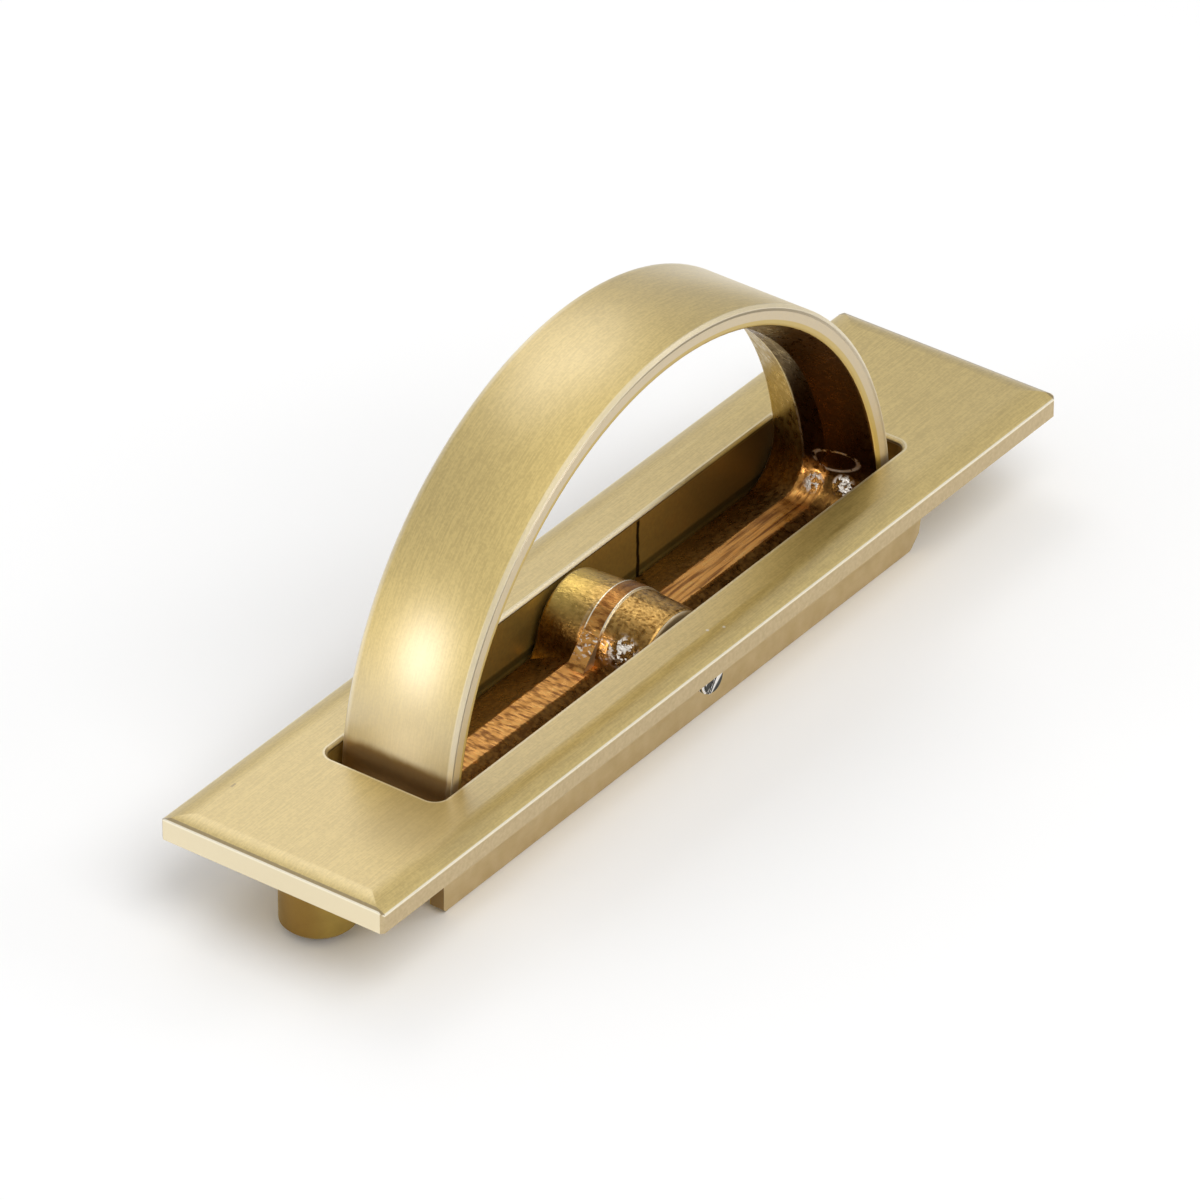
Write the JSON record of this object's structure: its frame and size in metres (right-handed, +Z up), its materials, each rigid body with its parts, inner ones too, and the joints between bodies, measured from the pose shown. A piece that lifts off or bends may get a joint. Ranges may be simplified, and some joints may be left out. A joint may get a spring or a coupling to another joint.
{
  "type": "recessed cabinet pull",
  "caption": "Flush brass pull: a D-shaped finger handle turns end over end in a slotted faceplate, so its flat bar closes level with the plate or its arch stands up to be gripped.",
  "frame": {"origin": "middle of the footprint, at the lower edges of the two side walls on which the pull rests", "axes": "+X along the faceplate, +Y across it along the handle's turning axis, +Z up out of the faceplate"},
  "size_m": [0.1, 0.0238, 0.0386],
  "materials": {
    "satin_brass": "satin, brushed along the plate",
    "handle_brass": "satin, brushed round the arch",
    "screw_steel": "turned, plated"
  },
  "bodies": {
    "base": {"pull_frame": "satin_brass", "pivot_screw_near": "screw_steel", "pivot_screw_far": "screw_steel"},
    "handle": {"pull_handle": "handle_brass"}
  },
  "joints": [
    {"name": "handle_pivot", "type": "hinge", "parent": "base", "child": "handle", "pos_m": [0, 0, 0.00565], "axis": [0, 1, 0], "continuous": true}
  ]
}
